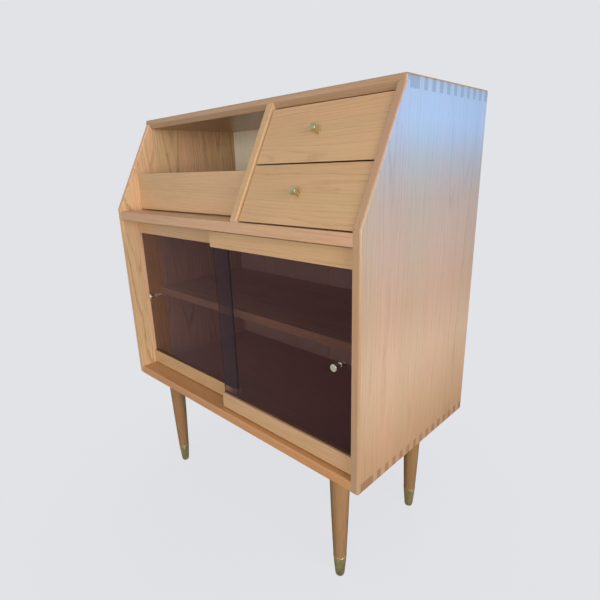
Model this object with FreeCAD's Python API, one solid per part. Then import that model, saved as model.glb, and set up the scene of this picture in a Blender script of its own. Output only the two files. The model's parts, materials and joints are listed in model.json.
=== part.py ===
"""Slant-front oak cabinet on turned legs.

Frame: +Z up, origin on the floor under the middle of the carcass,
front faces -Y, +X to the right as seen from the front. Millimetres.
"""
import FreeCAD
import Part
import math
import os

os.makedirs("parts", exist_ok=True)
V = FreeCAD.Vector

# ---------------------------------------------------------------- carcass
width = 800.0             # outside width
depth = 415.0             # outside depth of the lower cupboard
top_depth = 302.5         # depth of the top board
leg_height = 296.0        # floor to the underside of the carcass
carcass_height = 702.0    # underside to top face
knee_height = 477.0       # underside to the knee where the slope starts
lip = 11.0                # upright part of the side profile above the slope
side_t = 16.0             # side panel thickness
board_t = 22.0            # top, deck and bottom thickness
divider_t = 18.0          # upright divider thickness
deck_drop = 6.0           # deck top below the knee
cubby_width = 470.0       # clear width left of the divider
outer_round = 4.0         # rounding of the carcass's outer arrises
arris = 1.5               # rounding of inner front arrises
floor_arris = 4.0         # rounding of the cupboard floor's front arris
housing = 5.0             # depth of the housings that hold deck and divider
housing_stop = 14.0       # housings stop this far behind the front edge

# ---------------------------------------------------------- finger joints
finger = 13.0             # width of one finger
rear_finger = 17.0        # last finger, at the rear
haunch_min = 30.0         # the front finger is at least this long
cover = 8.0               # side panel left in front of the first finger
under_bevel = 6.0         # top board's lower front edge, cut back this far

# -------------------------------------------------------------- the back
back_t = 8.0              # back board thickness
back_recess = 7.5         # rear face of the boards in from the sides
back_rebate = 6.0         # depth of the rebate they lie in
back_count = 6            # number of upright back boards
back_gap = 0.4            # gap between two back boards
back_chamfer = 1.5        # V on their front arrises

# ----------------------------------------------------------------- shelf
shelf_t = 20.0
shelf_rise = 206.0        # cupboard floor to the shelf's underside
shelf_setback = 87.5      # front plane to the shelf's front edge
shelf_gap = 0.5           # shelf to side panel and back
pin_r = 2.5               # shelf pin in the side panel
pin_head_r = 4.0
pin_reach = 9.0           # pin length in the side panel
pin_out = 8.0             # pin head length under the shelf
pin_inset = 40.0          # pin to the shelf's front and rear edge

# ----------------------------------------------------------------- cubby
cubby_board_t = 15.0
cubby_board_height = 92.5
cubby_board_setback = 61.5
cubby_base_gap = 2.5      # slot under the board
end_gap = 0.3             # board end to side panel and divider
dowel_r = 3.0
dowel_in_board = 18.0
dowel_in_side = 10.0
dowel_inset = 22.0        # dowel to the board's top and bottom edge
hole_clear = 0.05         # radial clearance round dowels, bolts and screws

# ----------------------------------------------------------------- doors
door_overlap = 20.0       # how far the shut doors pass each other
door_rail_t = 16.0
door_top_rail_h = 34.5
door_base_rail_h = 37.0
door_setback = 14.0       # front plane to the front door's rails
door_gap = 14.0           # between front and back door rails
door_side_gap = 1.0       # door end to side panel when shut
door_top_gap = 4.0        # rail to deck, room to lift the door off its guide
door_base_gap = 2.0       # rail to cupboard floor
tongue_t = 8.0
tongue_clear = 0.5        # each side of a tongue in its groove
top_tongue = 6.0          # tongue above the deck's underside
top_groove = 12.0         # deep enough to lift the door out
guide_t = 4.0             # nylon guide on the cupboard floor, under both doors' ends
guide_length = 8.0
guide_bite = 3.0          # guide inside the slot under the rail
guide_clear = 0.3         # each side of the guide in its slot
guide_slot_h = 5.0
guide_slot_end = 4.0      # slot stops short of the rail's ends
guide_pin_r = 1.8
guide_pin_length = 12.0
glide_length = 24.0
glide_edge = 3.5          # glide pad in from the rail's faces
glide_inset = 40.0
glide_gap = 0.1
glass_t = 5.0
glass_grip = 8.0          # glass inside each rail
glass_clear = 0.15
glass_inset = 3.0         # glass edge in from the rail ends

# ----------------------------------------------------------------- knobs
knob_stem_r = 3.5
knob_head_r = 7.0
knob_length = 19.0
knob_head_t = 5.5
knob_thread = 9.0
screw_r = 1.65
screw_head_r = 4.0
screw_head_t = 2.0
door_knob_inset = 40.0    # knob to side panel's inner face when shut

# --------------------------------------------------------------- drawers
drawer_recess = 5.0       # front face behind the slope
drawer_front_t = 18.0
drawer_gap = 2.2          # above, between and below the fronts
drawer_side_gap = 2.0     # front to side panel and divider
box_clear = 1.5           # drawer side to side panel and divider
box_side_t = 12.0
box_height = 76.0
box_lift = 8.0            # box bottom above the front's lower edge
box_rear_gap = 26.0       # box rear to the back boards
box_bottom_t = 5.0
box_bottom_rise = 8.0
box_bottom_bite = 5.0     # bottom panel in its grooves
groove_clear = 0.1
runner_h = 14.0
runner_out = 8.0          # runner standing out of side panel or divider
runner_clear = 0.3        # above and below the runner
runner_face_gap = 0.5
runner_setback = 14.0     # runner starts behind the drawer front
runner_past = 14.0        # runner past the box rear
stop_width = 40.0
stop_height = 20.0
stop_gap = 0.3

# ------------------------------------------------------------------ legs
leg_inset_x = 91.0        # leg centre to side face
leg_inset_y = 62.5        # leg centre to front and rear plane
leg_top_r = 22.2
leg_low_r = 14.7          # leg radius just above the brass cup
leg_belly = 0.7           # how far the taper bulges at mid height
cup_height = 56.0
cup_tip_r = 10.3
cup_flat_r = 5.0
cup_round_h = 8.0
cup_wall = 1.0
cup_floor = 8.0
cup_clear = 0.1
bolt_r = 4.0
bolt_in_board = 17.0
bolt_in_leg = 40.0

# ------------------------------------------------- wood and back screws
back_screw_r = 1.5
back_screw_head_r = 3.2
back_screw_length = 25.0
runner_screw_length = 15.0

# ----------------------------------------------------------- derived
x_out = width / 2
x_in = x_out - side_t
y_front = -depth / 2
y_rear = depth / 2
y_top = y_rear - top_depth
z_under = leg_height
z_floor = z_under + board_t
z_top = z_under + carcass_height
z_roof = z_top - board_t
z_knee = z_under + knee_height
z_deck = z_knee - deck_drop
z_deck_under = z_deck - board_t
slope_dy = y_top - y_front
slope_dz = z_top - lip - z_knee
slope_len = math.hypot(slope_dy, slope_dz)
slope_out = V(0, -slope_dz / slope_len, slope_dy / slope_len)
y_back_rear = y_rear - back_recess
y_back = y_back_rear - back_t
x_div_left = -x_in + cubby_width
x_div_right = x_div_left + divider_t
z_shelf_under = z_floor + shelf_rise
y_shelf = y_front + shelf_setback


# ----------------------------------------------------------- helpers
def save(node, shape):
    shape.exportStep("parts/" + node + ".step")
    print(node, len(shape.Solids), round(shape.Volume / 1000, 1), "cm3")


def box(x0, x1, y0, y1, z0, z1):
    return Part.makeBox(x1 - x0, y1 - y0, z1 - z0, V(x0, y0, z0))


def prism(points, x0, x1):
    """A solid with the (y, z) outline, from x0 to x1."""
    loop = [V(x0, y, z) for y, z in points]
    face = Part.Face(Part.makePolygon(loop + loop[:1]))
    return face.extrude(V(x1 - x0, 0, 0))


def rod(start, direction, radius, length):
    return Part.makeCylinder(radius, length, start, direction)


def turned(points, centre):
    """A solid of revolution from (radius, height) points."""
    loop = [V(r, 0, z) for r, z in points]
    face = Part.Face(Part.makePolygon(loop + loop[:1]))
    return moved(face.revolve(V(0, 0, 0), V(0, 0, 1), 360), centre)


def moved(shape, offset):
    copy = shape.copy()
    copy.translate(offset)
    return copy


def aimed(shape, start, direction):
    """Stand a piece built along +Z on start, pointing along direction."""
    copy = shape.copy()
    turn = FreeCAD.Rotation(V(0, 0, 1), direction)
    copy.Placement = FreeCAD.Placement(start, turn)
    return copy


def rounded(shape, radius, chosen):
    """Round the straight edges for which chosen(midpoint, direction) holds."""
    edges = []
    for edge in shape.Edges:
        line = edge.Vertexes[-1].Point - edge.Vertexes[0].Point
        if line.Length < 2 * radius:
            continue
        if chosen(edge.CenterOfMass, line.normalize()):
            edges.append(edge)
    return shape.makeFillet(radius, edges) if edges else shape


def near(a, b):
    return abs(a - b) < 0.01


def slope_y(z, inward=0.0):
    """Where the slope plane, moved inward, stands at height z."""
    return y_front + (z - z_knee) * slope_dy / slope_dz + inward * slope_len / slope_dz


# ----------------------------------------------------------- carcass
def carcass_outline():
    return [(y_front, z_under), (y_rear, z_under), (y_rear, z_top),
            (y_top, z_top), (y_top, z_top - lip), (y_front, z_knee)]


def envelope():
    block = prism(carcass_outline(), -x_out, x_out)
    return block.makeFillet(outer_round, block.Edges)


def finger_boxes(x0, x1, z0, z1, y_start):
    """The spaces of the side panel's fingers in one corner, from the rear."""
    found = []
    y = y_rear - rear_finger
    while y - finger - haunch_min > y_start:
        found.append(box(x0, x1, y - finger, y, z0, z1))
        y -= 2 * finger
    return found


def side_spaces():
    """All the space in the four corners that belongs to the side panels."""
    boxes = []
    for x0, x1 in ((-x_out, -x_in), (x_in, x_out)):
        boxes += finger_boxes(x0, x1, z_under, z_floor, y_front)
        boxes += finger_boxes(x0, x1, z_roof, z_top, y_top)
        boxes.append(box(x0, x1, y_front, y_front + cover, z_under, z_floor))
        boxes.append(box(x0, x1, y_front, y_top + cover, z_roof, z_top - lip))
    return Part.makeCompound(boxes)


def back_pocket():
    """The rebated space behind the cupboard, from the boards' front face."""
    z0 = z_floor - back_rebate
    z1 = z_roof + back_rebate
    return box(-x_in - back_rebate, x_in + back_rebate, y_back, y_rear, z0, z1)


def corner_blocks():
    """The parts of the corners that belong to the top and bottom boards."""
    blocks = []
    for x0, x1 in ((-x_out, -x_in), (x_in, x_out)):
        blocks.append(box(x0, x1, y_front, y_rear, z_under, z_floor))
        blocks.append(box(x0, x1, y_front, y_rear, z_roof, z_top))
    return Part.makeCompound(blocks).cut(side_spaces())


def deck_housing():
    y0 = y_front + housing_stop
    return box(-x_in - housing, x_in + housing, y0, y_back, z_deck_under, z_deck)


def divider_housing():
    """The divider's edges that stand in the deck and in the top board."""
    low = box(x_div_left, x_div_right, y_front + 2 * housing_stop, y_back,
              z_deck - housing, z_deck)
    high = box(x_div_left, x_div_right, y_top + 2 * housing_stop, y_back,
               z_roof, z_roof + housing)
    return low.fuse(high)


def side_panel(sign, shell):
    x0, x1 = sorted((sign * x_in, sign * x_out))
    panel = prism(carcass_outline(), x0, x1)
    inner = sign * x_in

    def front_arris(middle, line):
        on_front = middle.y < slope_y(middle.z) + 1 or near(middle.y, y_top)
        return near(middle.x, inner) and abs(line.z) > 0.5 and on_front

    panel = rounded(panel, arris, front_arris).common(shell)
    panel = panel.cut(corner_blocks()).cut(back_pocket()).cut(deck_housing())
    for place in pin_places():
        if place.x * sign > 0:
            panel = panel.cut(pin_hole(place))
    if sign < 0:
        panel = panel.cut(dowel_set(hole_clear))
    return panel.cut(runner_screw_set(hole_clear))


def flat_board(z0, z1, y0, shell):
    board = box(-x_out, x_out, y0, y_rear, z0, z1)
    return board.common(shell).cut(side_spaces()).cut(back_pocket())


def top_board(shell):
    board = flat_board(z_roof, z_top, y_top, shell)
    bevel = [(y_top - 1, z_roof - 1), (y_top + under_bevel, z_roof - 1),
             (y_top + under_bevel, z_roof), (y_top, z_top - lip), (y_top - 1, z_top - lip)]
    board = board.cut(prism(bevel, -x_in, x_in))
    return board.cut(divider_housing()).cut(back_screw_set(hole_clear))


def bottom_board(shell):
    board = flat_board(z_under, z_floor, y_front, shell)

    def front_arris(middle, line):
        on_front = near(middle.y, y_front) and near(middle.z, z_floor)
        return on_front and abs(line.x) > 0.5

    board = rounded(board, floor_arris, front_arris)
    board = board.cut(guide_pins(hole_clear)).cut(back_screw_set(hole_clear))
    return board.cut(leg_bolt_set(hole_clear))


def deck_board():
    board = box(-x_in, x_in, y_front, y_back, z_deck_under, z_deck)

    def front_arris(middle, line):
        return near(middle.y, y_front) and abs(line.x) > 0.5

    board = rounded(board, arris, front_arris).fuse(deck_housing())
    for track in (front_track, back_track):
        board = board.cut(track_groove(track, z_deck_under, z_deck_under + top_groove))
    board = board.cut(divider_housing())
    return board.cut(back_screw_set(hole_clear)).removeSplitter()


def divider():
    outline = [(y_front, z_deck), (y_back, z_deck), (y_back, z_roof),
               (y_top + under_bevel, z_roof), (y_top, z_top - lip), (y_front, z_knee)]
    board = prism(outline, x_div_left, x_div_right)

    def front_arris(middle, line):
        return middle.y < slope_y(middle.z) + 1 and abs(line.z) > 0.5

    board = rounded(board, arris, front_arris).fuse(divider_housing())
    board = board.cut(dowel_set(hole_clear))
    return board.cut(runner_screw_set(hole_clear)).removeSplitter()


# ----------------------------------------------------------- back boards
def back_board_width():
    span = 2 * (x_in + back_rebate) - back_gap
    return (span - (back_count - 1) * back_gap) / back_count


def back_board_left(number):
    start = -x_in - back_rebate + back_gap / 2
    return start + number * (back_board_width() + back_gap)


def back_board(number):
    x0 = back_board_left(number)
    x1 = x0 + back_board_width()
    z0 = z_floor - back_rebate + back_gap
    z1 = z_roof + back_rebate - back_gap
    board = box(x0, x1, y_back, y_back_rear, z0, z1)
    edges = [e for e in board.Edges
             if near(e.CenterOfMass.y, y_back) and near(e.CenterOfMass.z, (z0 + z1) / 2)]
    board = board.makeChamfer(back_chamfer, edges)
    return board.cut(back_screw_set(hole_clear))


def back_screw_places():
    places = []
    heights = (z_floor - back_rebate / 2, (z_deck_under + z_deck) / 2, z_roof + back_rebate / 2)
    for number in range(back_count):
        x = back_board_left(number) + back_board_width() / 2
        places += [V(x, y_back_rear, z) for z in heights]
    return places


def back_screw_set(extra=0.0):
    """Countersunk screws, or their holes when extra is the clearance."""
    screws = []
    for place in back_screw_places():
        shank = rod(place, V(0, -1, 0), back_screw_r + extra, back_screw_length)
        head_r = back_screw_head_r + extra
        head = Part.makeCone(head_r, back_screw_r + extra,
                             back_screw_head_r - back_screw_r, place, V(0, -1, 0))
        screws.append(shank.fuse(head))
    return Part.makeCompound(screws)


# ----------------------------------------------------------- shelf
def shelf():
    x1 = x_in - shelf_gap
    z1 = z_shelf_under + shelf_t
    board = box(-x1, x1, y_shelf, y_back - shelf_gap, z_shelf_under, z1)

    def front_arris(middle, line):
        return near(middle.y, y_shelf) and abs(line.x) > 0.5

    return rounded(board, arris, front_arris)


def pin_places():
    z = z_shelf_under - pin_head_r - 0.05
    ys = (y_shelf + pin_inset, y_back - shelf_gap - pin_inset)
    return [V(sign * x_in, y, z) for sign in (-1, 1) for y in ys]


def pin_hole(place):
    side = 1 if place.x > 0 else -1
    return rod(place, V(side, 0, 0), pin_r + hole_clear, pin_reach + 1)


def shelf_pins():
    pins = []
    for place in pin_places():
        side = 1 if place.x > 0 else -1
        shank = rod(place, V(side, 0, 0), pin_r, pin_reach)
        head = rod(place, V(-side, 0, 0), pin_head_r, pin_out)
        pins.append(shank.fuse(head))
    return Part.makeCompound(pins)


# ----------------------------------------------------------- cubby board
def cubby_y():
    y0 = y_front + cubby_board_setback
    return y0, y0 + cubby_board_t


def cubby_z():
    z0 = z_deck + cubby_base_gap
    return z0, z0 + cubby_board_height


def cubby_board():
    y0, y1 = cubby_y()
    z0, z1 = cubby_z()
    board = box(-x_in + end_gap, x_div_left - end_gap, y0, y1, z0, z1)

    def long_arris(middle, line):
        return abs(line.x) > 0.5

    return rounded(board, arris, long_arris).cut(dowel_set(hole_clear))


def dowel_set(extra=0.0):
    y = sum(cubby_y()) / 2
    z0, z1 = cubby_z()
    length = dowel_in_board + dowel_in_side
    dowels = []
    for z in (z0 + dowel_inset, z1 - dowel_inset):
        left = V(-x_in - dowel_in_side, y, z)
        right = V(x_div_left + dowel_in_side, y, z)
        dowels.append(rod(left, V(1, 0, 0), dowel_r + extra, length))
        dowels.append(rod(right, V(-1, 0, 0), dowel_r + extra, length))
    return Part.makeCompound(dowels)


# ----------------------------------------------------------- doors
door_width = x_in - door_side_gap + door_overlap / 2
front_track = y_front + door_setback
back_track = front_track + door_rail_t + door_gap
door_z0 = z_floor + door_base_gap
door_z1 = z_deck_under - door_top_gap
glass_z0 = door_z0 + door_base_rail_h - glass_grip
glass_z1 = door_z1 - door_top_rail_h + glass_grip


def tongue_y(track):
    middle = track + door_rail_t / 2
    return middle - tongue_t / 2, middle + tongue_t / 2


def track_groove(track, z0, z1):
    y0, y1 = tongue_y(track)
    return box(-x_in, x_in, y0 - tongue_clear, y1 + tongue_clear, z0, z1)


def glass_y(track):
    middle = track + door_rail_t / 2
    return middle - glass_t / 2, middle + glass_t / 2


def door_x(sign):
    outer = x_in - door_side_gap
    return sorted((sign * outer, sign * (outer - door_width)))


def knob_x(sign):
    return sign * (x_in - door_knob_inset)


def door_rail(sign, track, z0, z1):
    x0, x1 = door_x(sign)

    def corner(middle, line):
        return True

    return rounded(box(x0, x1, track, track + door_rail_t, z0, z1), 1.0, corner)


def glass_slot(sign, track):
    x0, x1 = door_x(sign)
    g0, g1 = glass_y(track)
    return box(x0 + glass_inset - glass_clear, x1 - glass_inset + glass_clear,
               g0 - glass_clear, g1 + glass_clear, glass_z0 - glass_clear, glass_z1 + glass_clear)


def door_top_rail(sign, track):
    x0, x1 = door_x(sign)
    y0, y1 = tongue_y(track)
    rail = door_rail(sign, track, door_z1 - door_top_rail_h, door_z1)
    tongue = box(x0 + 1, x1 - 1, y0, y1, door_z1 - 2, z_deck_under + top_tongue)
    return rail.fuse(tongue).cut(glass_slot(sign, track)).removeSplitter()


def door_bottom_rail(sign, track):
    x0, x1 = door_x(sign)
    y0, y1 = guide_y(track)
    rail = door_rail(sign, track, door_z0, door_z0 + door_base_rail_h)
    slot = box(x0 + guide_slot_end, x1 - guide_slot_end, y0 - guide_clear, y1 + guide_clear,
               door_z0 - 1, door_z0 + guide_slot_h)
    return rail.cut(slot).cut(glass_slot(sign, track))


def door_glass(sign, track):
    x0, x1 = door_x(sign)
    g0, g1 = glass_y(track)
    pane = box(x0 + glass_inset, x1 - glass_inset, g0, g1, glass_z0, glass_z1)
    hole = rod(V(knob_x(sign), g0 - 1, door_knob_z()), V(0, 1, 0), screw_r + 0.5, glass_t + 2)
    return pane.cut(hole)


def door_knob_z():
    return (glass_z0 + glass_z1) / 2


def door_glides(sign, track):
    """Pads under the rail near its ends, one on each side of the guide's slot."""
    x0, x1 = door_x(sign)
    y0, y1 = guide_y(track)
    spans = ((x0 + glide_inset, x0 + glide_inset + glide_length),
             (x1 - glide_inset - glide_length, x1 - glide_inset))
    sides = ((track + glide_edge, y0 - guide_clear), (y1 + guide_clear, track + door_rail_t - glide_edge))
    return Part.makeCompound([box(a, b, y, end, z_floor + glide_gap, door_z0)
                              for a, b in spans for y, end in sides])


def guide_y(track):
    middle = track + door_rail_t / 2
    return middle - guide_t / 2, middle + guide_t / 2


def guide_pins(extra=0.0):
    return Part.makeCompound([rod(V(0, sum(guide_y(track)) / 2, z_floor), V(0, 0, -1),
                                  guide_pin_r + extra, guide_pin_length)
                              for track in (front_track, back_track)])


def door_guides():
    """One guide for each door at the middle, where its rail always covers it."""
    guides = []
    for track, pin in zip((front_track, back_track), guide_pins().Solids):
        y0, y1 = guide_y(track)
        head = box(-guide_length / 2, guide_length / 2, y0, y1, z_floor, door_z0 + guide_bite)
        guides.append(head.fuse(pin))
    return Part.makeCompound(guides)


# ----------------------------------------------------------- knobs
def knob():
    """A turned knob along +Z, standing on z = 0, with a blind thread."""
    neck = knob_length - knob_head_t
    head = Part.makeCylinder(knob_head_r, knob_head_t, V(0, 0, neck))
    head = head.makeFillet(0.8, [e for e in head.Edges if len(e.Vertexes) == 1])
    body = Part.makeCylinder(knob_stem_r, neck + 1).fuse(head)
    return body.cut(Part.makeCylinder(screw_r + hole_clear, knob_thread + 1))


def knob_screw(through):
    """A pan head screw along +Z whose head lies under z = -through."""
    shank = Part.makeCylinder(screw_r, through + knob_thread, V(0, 0, -through))
    head = Part.makeCylinder(screw_head_r, screw_head_t, V(0, 0, -through - screw_head_t))
    return shank.fuse(head)


# ----------------------------------------------------------- drawers
drawer_h = (z_roof - z_deck - 3 * drawer_gap) / 2
lower_z = z_deck + drawer_gap
upper_z = lower_z + drawer_h + drawer_gap
box_x0 = x_div_right + box_clear
box_x1 = x_in - box_clear
box_rear = y_back - box_rear_gap


def front_back_y(z):
    """Rear face of a drawer front at height z."""
    return slope_y(z, drawer_recess + drawer_front_t)


def runner_z(z):
    return z + box_lift + box_height / 2


def drawer_bottom_z(z):
    z0 = z + box_lift + box_bottom_rise
    return z0, z0 + box_bottom_t


def drawer_front(z):
    z1 = z + drawer_h
    outline = [(slope_y(z, drawer_recess), z), (front_back_y(z), z),
               (front_back_y(z1), z1), (slope_y(z1, drawer_recess), z1)]
    front = prism(outline, x_div_right + drawer_side_gap, x_in - drawer_side_gap)

    def outer(middle, line):
        return middle.y < slope_y(middle.z, drawer_recess) + 1

    front = rounded(front, 1.0, outer)
    place, through = drawer_knob_place(z)
    hole = aimed(Part.makeCylinder(screw_r + 0.3, through + 2, V(0, 0, -through - 1)),
                 place, slope_out)
    return front.cut(hole).cut(drawer_bottom_space(z))


def drawer_knob_place(z):
    middle = z + drawer_h / 2
    x = (x_div_right + x_in) / 2
    return V(x, slope_y(middle, drawer_recess), middle), drawer_front_t


def drawer_bottom_space(z):
    z0, z1 = drawer_bottom_z(z)
    y0 = front_back_y(z0) - box_bottom_bite - groove_clear
    bite = box_bottom_bite + groove_clear
    return box(box_x0 + box_side_t - bite, box_x1 - box_side_t + bite,
               y0, box_rear + 1, z0 - groove_clear, z1 + groove_clear)


def drawer_side(z, left):
    x0 = box_x0 if left else box_x1 - box_side_t
    x1 = x0 + box_side_t
    z0 = z + box_lift
    z1 = z0 + box_height
    outline = [(front_back_y(z0), z0), (box_rear, z0), (box_rear, z1), (front_back_y(z1), z1)]
    side = prism(outline, x0, x1)
    deep = runner_out - box_clear + runner_face_gap
    half = runner_h / 2 + runner_clear
    g0 = x0 if left else x1 - deep
    slot = box(g0, g0 + deep, y_front, box_rear + 1, runner_z(z) - half, runner_z(z) + half)
    return side.cut(slot).cut(drawer_bottom_space(z))


def drawer_back(z):
    z0 = drawer_bottom_z(z)[1] + groove_clear
    return box(box_x0 + box_side_t, box_x1 - box_side_t, box_rear - box_side_t, box_rear,
               z0, z + box_lift + box_height)


def drawer_bottom(z):
    z0, z1 = drawer_bottom_z(z)
    y0 = front_back_y(z0) - box_bottom_bite
    return box(box_x0 + box_side_t - box_bottom_bite, box_x1 - box_side_t + box_bottom_bite,
               y0, box_rear, z0, z1)


def runners():
    strips = []
    for z in (lower_z, upper_z):
        middle = runner_z(z)
        y0 = front_back_y(middle) + runner_setback
        for x0 in (x_div_right, x_in - runner_out):
            strip = box(x0, x0 + runner_out, y0, box_rear + runner_past,
                        middle - runner_h / 2, middle + runner_h / 2)
            strips.append(strip.cut(runner_screw_set(hole_clear)))
    return Part.makeCompound(strips)


def runner_screw_set(extra=0.0):
    """Countersunk screws from each runner into its panel."""
    screws = []
    for z in (lower_z, upper_z):
        middle = runner_z(z)
        y0 = front_back_y(middle) + runner_setback
        y1 = box_rear + runner_past
        for y in (y0 + 30, y1 - 30):
            for x, turn in ((x_div_right + runner_out, -1), (x_in - runner_out, 1)):
                start = V(x, y, middle)
                aim = V(turn, 0, 0)
                head = Part.makeCone(back_screw_head_r + extra, back_screw_r + extra,
                                     back_screw_head_r - back_screw_r, start, aim)
                screws.append(rod(start, aim, back_screw_r + extra, runner_screw_length).fuse(head))
    return Part.makeCompound(screws)


def drawer_stops():
    x = (x_div_right + x_in) / 2
    blocks = []
    for z in (lower_z, upper_z):
        middle = runner_z(z)
        blocks.append(box(x - stop_width / 2, x + stop_width / 2, box_rear + stop_gap, y_back,
                          middle - stop_height / 2, middle + stop_height / 2))
    return Part.makeCompound(blocks)


# ----------------------------------------------------------- legs
def leg_places():
    x = x_out - leg_inset_x
    y = y_rear - leg_inset_y
    return {"front_left": V(-x, -y, 0), "front_right": V(x, -y, 0),
            "rear_left": V(-x, y, 0), "rear_right": V(x, y, 0)}


def leg(centre):
    core_low = cup_tip_r - cup_wall - cup_clear
    core_high = leg_low_r - cup_wall - cup_clear
    low = V(leg_low_r, 0, cup_height + cup_clear)
    high = V(leg_top_r, 0, leg_height)
    middle = (low + high) * 0.5 + V(leg_belly, 0, 0)
    curve = Part.BSplineCurve()
    curve.interpolate([low, middle, high])
    floor = cup_floor + cup_clear
    corners = [V(0, 0, leg_height), V(0, 0, floor), V(core_low, 0, floor),
               V(core_high, 0, cup_height + cup_clear), low]
    wire = Part.Wire([curve.toShape()] + [Part.makeLine(a, b) for a, b in
                     zip([high] + corners[:-1], corners)])
    turned_leg = Part.Face(wire).revolve(V(0, 0, 0), V(0, 0, 1), 360)
    return moved(turned_leg, centre).cut(leg_bolt_set(hole_clear))


def foot_cup(centre):
    round_r = cup_tip_r - cup_flat_r
    steps = 5
    outer = [(cup_flat_r + round_r * math.sin(a), cup_round_h * (1 - math.cos(a)))
             for a in (i * math.pi / 2 / steps for i in range(steps + 1))]
    points = [(0, 0)] + outer + [(leg_low_r, cup_height), (leg_low_r - cup_wall, cup_height),
                                 (cup_tip_r - cup_wall, cup_floor), (0, cup_floor)]
    return turned(points, centre)


def leg_bolt_set(extra=0.0):
    bolts = []
    for place in leg_places().values():
        start = V(place.x, place.y, leg_height - bolt_in_leg)
        bolts.append(rod(start, V(0, 0, 1), bolt_r + extra, bolt_in_leg + bolt_in_board))
    return Part.makeCompound(bolts)


# ----------------------------------------------------------- build
shell = envelope()
save("side_panel_left", side_panel(-1, shell))
save("side_panel_right", side_panel(1, shell))
save("top_board", top_board(shell))
save("bottom_board", bottom_board(shell))
save("deck_board", deck_board())
save("divider", divider())
save("shelf", shelf())
save("shelf_pins", shelf_pins())
for number in range(back_count):
    save("back_board_" + str(number + 1), back_board(number))
save("back_screws", back_screw_set())
save("cubby_board", cubby_board())
save("cubby_board_dowels", dowel_set())
save("drawer_runners", runners())
save("runner_screws", runner_screw_set())
save("drawer_stops", drawer_stops())
for name, place in leg_places().items():
    save("leg_" + name, leg(place))
    save("foot_cup_" + name, foot_cup(place))
save("leg_bolts", leg_bolt_set())
save("door_guides", door_guides())
for name, sign, track in (("right_door", 1, front_track), ("left_door", -1, back_track)):
    on_glass = V(knob_x(sign), glass_y(track)[0], door_knob_z())
    save(name + "_top_rail", door_top_rail(sign, track))
    save(name + "_bottom_rail", door_bottom_rail(sign, track))
    save(name + "_glass", door_glass(sign, track))
    save(name + "_glides", door_glides(sign, track))
    save(name + "_knob", aimed(knob(), on_glass, V(0, -1, 0)))
    save(name + "_knob_screw", aimed(knob_screw(glass_t), on_glass, V(0, -1, 0)))
for name, z in (("lower_drawer", lower_z), ("upper_drawer", upper_z)):
    place, through = drawer_knob_place(z)
    save(name + "_front", drawer_front(z))
    save(name + "_left_side", drawer_side(z, True))
    save(name + "_right_side", drawer_side(z, False))
    save(name + "_back", drawer_back(z))
    save(name + "_bottom", drawer_bottom(z))
    save(name + "_knob", aimed(knob(), place, slope_out))
    save(name + "_knob_screw", aimed(knob_screw(through), place, slope_out))
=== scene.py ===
# %% [markdown]
# # An oak cabinet on turned legs
# The cabinet has a slanted upper front, with an open cubby and two drawers, and a cupboard
# with two sliding panes of smoked glass below. Its construction comes from a CAD model, which
# is loaded first as a fixed frame. Everything made here takes its place from that frame:
# boards with softened arrises, turned legs, brass ferrules and knobs, screws, panes, and
# the finish of every surface.

# %% Load the frame
import json
import math
import random

import bmesh
import bpy
from mathutils import Euler, Matrix, Vector
from mathutils.bvhtree import BVHTree

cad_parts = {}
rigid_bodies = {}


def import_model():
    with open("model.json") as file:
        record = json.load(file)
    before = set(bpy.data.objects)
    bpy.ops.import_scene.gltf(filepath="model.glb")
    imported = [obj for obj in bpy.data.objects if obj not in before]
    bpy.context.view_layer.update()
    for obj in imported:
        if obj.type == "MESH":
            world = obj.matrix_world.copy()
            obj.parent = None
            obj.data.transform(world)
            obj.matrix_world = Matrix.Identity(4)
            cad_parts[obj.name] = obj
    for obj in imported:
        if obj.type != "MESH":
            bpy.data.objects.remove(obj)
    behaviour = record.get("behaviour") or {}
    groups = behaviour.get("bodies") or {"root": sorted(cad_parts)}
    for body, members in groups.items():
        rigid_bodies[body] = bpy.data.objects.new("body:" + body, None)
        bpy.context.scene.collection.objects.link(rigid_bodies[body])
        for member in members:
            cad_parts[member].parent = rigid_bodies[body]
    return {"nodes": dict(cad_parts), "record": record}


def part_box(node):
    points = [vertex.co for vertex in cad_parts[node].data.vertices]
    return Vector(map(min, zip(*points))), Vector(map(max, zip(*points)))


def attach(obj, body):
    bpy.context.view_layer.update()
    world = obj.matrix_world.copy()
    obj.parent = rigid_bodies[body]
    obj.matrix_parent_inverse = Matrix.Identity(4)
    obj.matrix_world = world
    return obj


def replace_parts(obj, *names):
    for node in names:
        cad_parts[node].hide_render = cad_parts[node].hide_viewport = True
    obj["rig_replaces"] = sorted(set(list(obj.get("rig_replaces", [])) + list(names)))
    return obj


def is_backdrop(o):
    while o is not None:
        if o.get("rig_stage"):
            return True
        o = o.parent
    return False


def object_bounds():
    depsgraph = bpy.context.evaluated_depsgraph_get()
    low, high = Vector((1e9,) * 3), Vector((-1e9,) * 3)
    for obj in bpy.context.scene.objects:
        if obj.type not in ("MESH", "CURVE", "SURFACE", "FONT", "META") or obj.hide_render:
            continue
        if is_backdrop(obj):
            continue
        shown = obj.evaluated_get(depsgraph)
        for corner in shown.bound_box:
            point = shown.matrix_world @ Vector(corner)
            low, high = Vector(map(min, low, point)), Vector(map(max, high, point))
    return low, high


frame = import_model()
cad_low, cad_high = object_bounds()
body_of = {node: body for body, nodes in frame["record"]["behaviour"]["bodies"].items() for node in nodes}
slot_of = {part["node"]: part["material_slot"] for part in frame["record"]["subparts"]}

# %% [markdown]
# A finish is a tree of shader nodes. Adding each node by hand takes four lines, so two small
# helpers do it: `add` makes a node and connects or sets its inputs by name, and `maths` makes
# the small sums. A shared effect is a node group with named sockets, made by `group`.

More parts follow.
